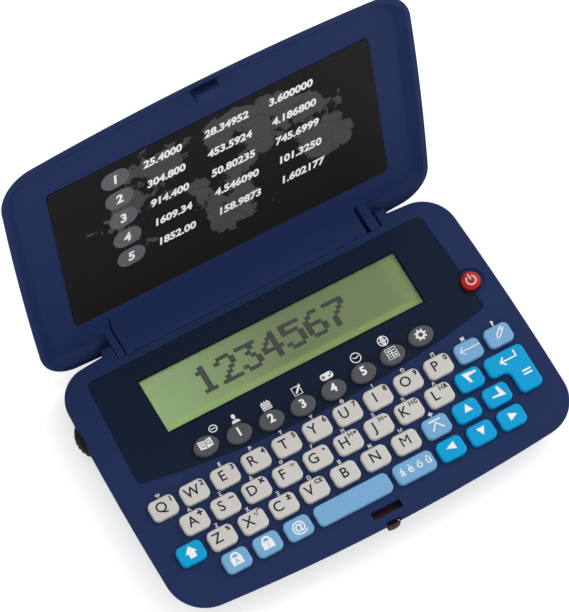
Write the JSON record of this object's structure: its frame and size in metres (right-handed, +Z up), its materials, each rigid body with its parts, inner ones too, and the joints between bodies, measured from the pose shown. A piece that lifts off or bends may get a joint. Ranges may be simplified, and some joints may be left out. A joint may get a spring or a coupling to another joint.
{
  "type": "electronic dictionary",
  "caption": "Pocket electronic dictionary: clamshell case with a snap-hinged lid, QWERTY keyboard, dot-matrix display, contrast wheel, latch and printed lid card.",
  "frame": {"origin": "middle of the case's flat underside, on the plane that it rests on", "axes": "+X along the keyboard rows towards the enter key, +Y from the front edge towards the hinge, +Z up from the underside through the keys"},
  "size_m": [0.1307, 0.117, 0.0887],
  "materials": {
    "case_navy": "fine-textured moulded plastic, dark navy blue",
    "lid_navy": "fine-textured moulded plastic, dark navy blue",
    "door_navy": "fine-textured moulded plastic, dark navy blue",
    "panel_dark": "smooth dark blue-black panel",
    "lens_clear": "clear acrylic window",
    "display_glass": "olive-green dot-matrix display glass",
    "contact_rubber": "layered contact rubber",
    "board_green": "green solder mask over glass fibre",
    "mat_rubber": "grey silicone mat",
    "card_dark": "printed near-black plastic card",
    "latch_maroon": "dark maroon moulded plastic",
    "wheel_black": "black moulded plastic, notched edge",
    "cell_steel": "nickel-plated coin cell",
    "screw_steel": "small steel screws",
    "power_red": "red rubber key with a white sign",
    "function_dark": "dark grey rubber keys",
    "key_grey": "warm light-grey keys with black legends",
    "key_light_blue": "light blue keys",
    "key_blue": "bright blue keys"
  },
  "bodies": {
    "case": {"lower_case": "case_navy", "upper_case": "case_navy", "screen_fascia": "panel_dark", "screen_lens": "lens_clear", "lcd_panel": "display_glass", "zebra_strip": "contact_rubber", "circuit_board": "board_green", "keypad_mat": "mat_rubber", "cell_left": "cell_steel", "cell_right": "cell_steel", "battery_door": "door_navy", "case_screws": "screw_steel"},
    "lid": {"lid_shell": "lid_navy", "label_card": "card_dark"},
    "latch": {"latch_button": "latch_maroon"},
    "contrast_wheel": {"contrast_wheel": "wheel_black"},
    "power_button": {"power_button": "power_red"},
    "function_keys": {"function_keys": "function_dark"},
    "key_q": {"key_q": "key_grey"},
    "key_w": {"key_w": "key_grey"},
    "key_e": {"key_e": "key_grey"},
    "key_r": {"key_r": "key_grey"},
    "key_t": {"key_t": "key_grey"},
    "key_y": {"key_y": "key_grey"},
    "key_u": {"key_u": "key_grey"},
    "key_i": {"key_i": "key_grey"},
    "key_o": {"key_o": "key_grey"},
    "key_p": {"key_p": "key_grey"},
    "key_back": {"key_back": "key_light_blue"},
    "key_edit": {"key_edit": "key_light_blue"},
    "key_a": {"key_a": "key_grey"},
    "key_s": {"key_s": "key_grey"},
    "key_d": {"key_d": "key_grey"},
    "key_f": {"key_f": "key_grey"},
    "key_g": {"key_g": "key_grey"},
    "key_h": {"key_h": "key_grey"},
    "key_j": {"key_j": "key_grey"},
    "key_k": {"key_k": "key_grey"},
    "key_l": {"key_l": "key_grey"},
    "key_previous": {"key_previous": "key_blue"},
    "key_enter": {"key_enter": "key_blue"},
    "key_shift": {"key_shift": "key_blue"},
    "key_z": {"key_z": "key_grey"},
    "key_x": {"key_x": "key_grey"},
    "key_c": {"key_c": "key_grey"},
    "key_v": {"key_v": "key_grey"},
    "key_b": {"key_b": "key_grey"},
    "key_n": {"key_n": "key_grey"},
    "key_m": {"key_m": "key_grey"},
    "key_insert": {"key_insert": "key_light_blue"},
    "key_up": {"key_up": "key_blue"},
    "key_next": {"key_next": "key_blue"},
    "key_caps": {"key_caps": "key_light_blue"},
    "key_numbers": {"key_numbers": "key_light_blue"},
    "key_at": {"key_at": "key_light_blue"},
    "key_space": {"key_space": "key_light_blue"},
    "key_accents": {"key_accents": "key_light_blue"},
    "key_left": {"key_left": "key_blue"},
    "key_down": {"key_down": "key_blue"},
    "key_right": {"key_right": "key_blue"}
  },
  "joints": [
    {"name": "lid_hinge", "type": "hinge", "parent": "case", "child": "lid", "pos_m": [0, 0.0414, 0.0088], "axis": [-1, 0, 0], "range_deg": [-108.8, 26.2]},
    {"name": "latch_slide", "type": "slide", "parent": "case", "child": "latch", "axis": [0, 1, 0], "range_m": [0, 0.0009], "stiffness_N_per_m": 600},
    {"name": "contrast_wheel_turn", "type": "hinge", "parent": "case", "child": "contrast_wheel", "pos_m": [-0.0578, 0.021, 0.0071], "axis": [0, 0, 1], "range_deg": [-135, 135]},
    {"name": "power_button_press", "type": "slide", "parent": "case", "child": "power_button", "axis": [0, 0, -1], "range_m": [0, 0.0008], "stiffness_N_per_m": 600},
    {"name": "function_keys_press", "type": "slide", "parent": "case", "child": "function_keys", "axis": [0, 0, -1], "range_m": [0, 0.0008], "stiffness_N_per_m": 900},
    {"name": "key_q_press", "type": "slide", "parent": "case", "child": "key_q", "axis": [0, 0, -1], "range_m": [0, 0.0008], "stiffness_N_per_m": 600},
    {"name": "key_w_press", "type": "slide", "parent": "case", "child": "key_w", "axis": [0, 0, -1], "range_m": [0, 0.0008], "stiffness_N_per_m": 600},
    {"name": "key_e_press", "type": "slide", "parent": "case", "child": "key_e", "axis": [0, 0, -1], "range_m": [0, 0.0008], "stiffness_N_per_m": 600},
    {"name": "key_r_press", "type": "slide", "parent": "case", "child": "key_r", "axis": [0, 0, -1], "range_m": [0, 0.0008], "stiffness_N_per_m": 600},
    {"name": "key_t_press", "type": "slide", "parent": "case", "child": "key_t", "axis": [0, 0, -1], "range_m": [0, 0.0008], "stiffness_N_per_m": 600},
    {"name": "key_y_press", "type": "slide", "parent": "case", "child": "key_y", "axis": [0, 0, -1], "range_m": [0, 0.0008], "stiffness_N_per_m": 600},
    {"name": "key_u_press", "type": "slide", "parent": "case", "child": "key_u", "axis": [0, 0, -1], "range_m": [0, 0.0008], "stiffness_N_per_m": 600},
    {"name": "key_i_press", "type": "slide", "parent": "case", "child": "key_i", "axis": [0, 0, -1], "range_m": [0, 0.0008], "stiffness_N_per_m": 600},
    {"name": "key_o_press", "type": "slide", "parent": "case", "child": "key_o", "axis": [0, 0, -1], "range_m": [0, 0.0008], "stiffness_N_per_m": 600},
    {"name": "key_p_press", "type": "slide", "parent": "case", "child": "key_p", "axis": [0, 0, -1], "range_m": [0, 0.0008], "stiffness_N_per_m": 600},
    {"name": "key_back_press", "type": "slide", "parent": "case", "child": "key_back", "axis": [0, 0, -1], "range_m": [0, 0.0008], "stiffness_N_per_m": 600},
    {"name": "key_edit_press", "type": "slide", "parent": "case", "child": "key_edit", "axis": [0, 0, -1], "range_m": [0, 0.0008], "stiffness_N_per_m": 600},
    {"name": "key_a_press", "type": "slide", "parent": "case", "child": "key_a", "axis": [0, 0, -1], "range_m": [0, 0.0008], "stiffness_N_per_m": 600},
    {"name": "key_s_press", "type": "slide", "parent": "case", "child": "key_s", "axis": [0, 0, -1], "range_m": [0, 0.0008], "stiffness_N_per_m": 600},
    {"name": "key_d_press", "type": "slide", "parent": "case", "child": "key_d", "axis": [0, 0, -1], "range_m": [0, 0.0008], "stiffness_N_per_m": 600},
    {"name": "key_f_press", "type": "slide", "parent": "case", "child": "key_f", "axis": [0, 0, -1], "range_m": [0, 0.0008], "stiffness_N_per_m": 600},
    {"name": "key_g_press", "type": "slide", "parent": "case", "child": "key_g", "axis": [0, 0, -1], "range_m": [0, 0.0008], "stiffness_N_per_m": 600},
    {"name": "key_h_press", "type": "slide", "parent": "case", "child": "key_h", "axis": [0, 0, -1], "range_m": [0, 0.0008], "stiffness_N_per_m": 600},
    {"name": "key_j_press", "type": "slide", "parent": "case", "child": "key_j", "axis": [0, 0, -1], "range_m": [0, 0.0008], "stiffness_N_per_m": 600},
    {"name": "key_k_press", "type": "slide", "parent": "case", "child": "key_k", "axis": [0, 0, -1], "range_m": [0, 0.0008], "stiffness_N_per_m": 600},
    {"name": "key_l_press", "type": "slide", "parent": "case", "child": "key_l", "axis": [0, 0, -1], "range_m": [0, 0.0008], "stiffness_N_per_m": 600},
    {"name": "key_previous_press", "type": "slide", "parent": "case", "child": "key_previous", "axis": [0, 0, -1], "range_m": [0, 0.0008], "stiffness_N_per_m": 600},
    {"name": "key_enter_press", "type": "slide", "parent": "case", "child": "key_enter", "axis": [0, 0, -1], "range_m": [0, 0.0008], "stiffness_N_per_m": 600},
    {"name": "key_shift_press", "type": "slide", "parent": "case", "child": "key_shift", "axis": [0, 0, -1], "range_m": [0, 0.0008], "stiffness_N_per_m": 600},
    {"name": "key_z_press", "type": "slide", "parent": "case", "child": "key_z", "axis": [0, 0, -1], "range_m": [0, 0.0008], "stiffness_N_per_m": 600},
    {"name": "key_x_press", "type": "slide", "parent": "case", "child": "key_x", "axis": [0, 0, -1], "range_m": [0, 0.0008], "stiffness_N_per_m": 600},
    {"name": "key_c_press", "type": "slide", "parent": "case", "child": "key_c", "axis": [0, 0, -1], "range_m": [0, 0.0008], "stiffness_N_per_m": 600},
    {"name": "key_v_press", "type": "slide", "parent": "case", "child": "key_v", "axis": [0, 0, -1], "range_m": [0, 0.0008], "stiffness_N_per_m": 600},
    {"name": "key_b_press", "type": "slide", "parent": "case", "child": "key_b", "axis": [0, 0, -1], "range_m": [0, 0.0008], "stiffness_N_per_m": 600},
    {"name": "key_n_press", "type": "slide", "parent": "case", "child": "key_n", "axis": [0, 0, -1], "range_m": [0, 0.0008], "stiffness_N_per_m": 600},
    {"name": "key_m_press", "type": "slide", "parent": "case", "child": "key_m", "axis": [0, 0, -1], "range_m": [0, 0.0008], "stiffness_N_per_m": 600},
    {"name": "key_insert_press", "type": "slide", "parent": "case", "child": "key_insert", "axis": [0, 0, -1], "range_m": [0, 0.0008], "stiffness_N_per_m": 600},
    {"name": "key_up_press", "type": "slide", "parent": "case", "child": "key_up", "axis": [0, 0, -1], "range_m": [0, 0.0008], "stiffness_N_per_m": 600},
    {"name": "key_next_press", "type": "slide", "parent": "case", "child": "key_next", "axis": [0, 0, -1], "range_m": [0, 0.0008], "stiffness_N_per_m": 600},
    {"name": "key_caps_press", "type": "slide", "parent": "case", "child": "key_caps", "axis": [0, 0, -1], "range_m": [0, 0.0008], "stiffness_N_per_m": 600},
    {"name": "key_numbers_press", "type": "slide", "parent": "case", "child": "key_numbers", "axis": [0, 0, -1], "range_m": [0, 0.0008], "stiffness_N_per_m": 600},
    {"name": "key_at_press", "type": "slide", "parent": "case", "child": "key_at", "axis": [0, 0, -1], "range_m": [0, 0.0008], "stiffness_N_per_m": 600},
    {"name": "key_space_press", "type": "slide", "parent": "case", "child": "key_space", "axis": [0, 0, -1], "range_m": [0, 0.0008], "stiffness_N_per_m": 600},
    {"name": "key_accents_press", "type": "slide", "parent": "case", "child": "key_accents", "axis": [0, 0, -1], "range_m": [0, 0.0008], "stiffness_N_per_m": 600},
    {"name": "key_left_press", "type": "slide", "parent": "case", "child": "key_left", "axis": [0, 0, -1], "range_m": [0, 0.0008], "stiffness_N_per_m": 600},
    {"name": "key_down_press", "type": "slide", "parent": "case", "child": "key_down", "axis": [0, 0, -1], "range_m": [0, 0.0008], "stiffness_N_per_m": 600},
    {"name": "key_right_press", "type": "slide", "parent": "case", "child": "key_right", "axis": [0, 0, -1], "range_m": [0, 0.0008], "stiffness_N_per_m": 600}
  ]
}
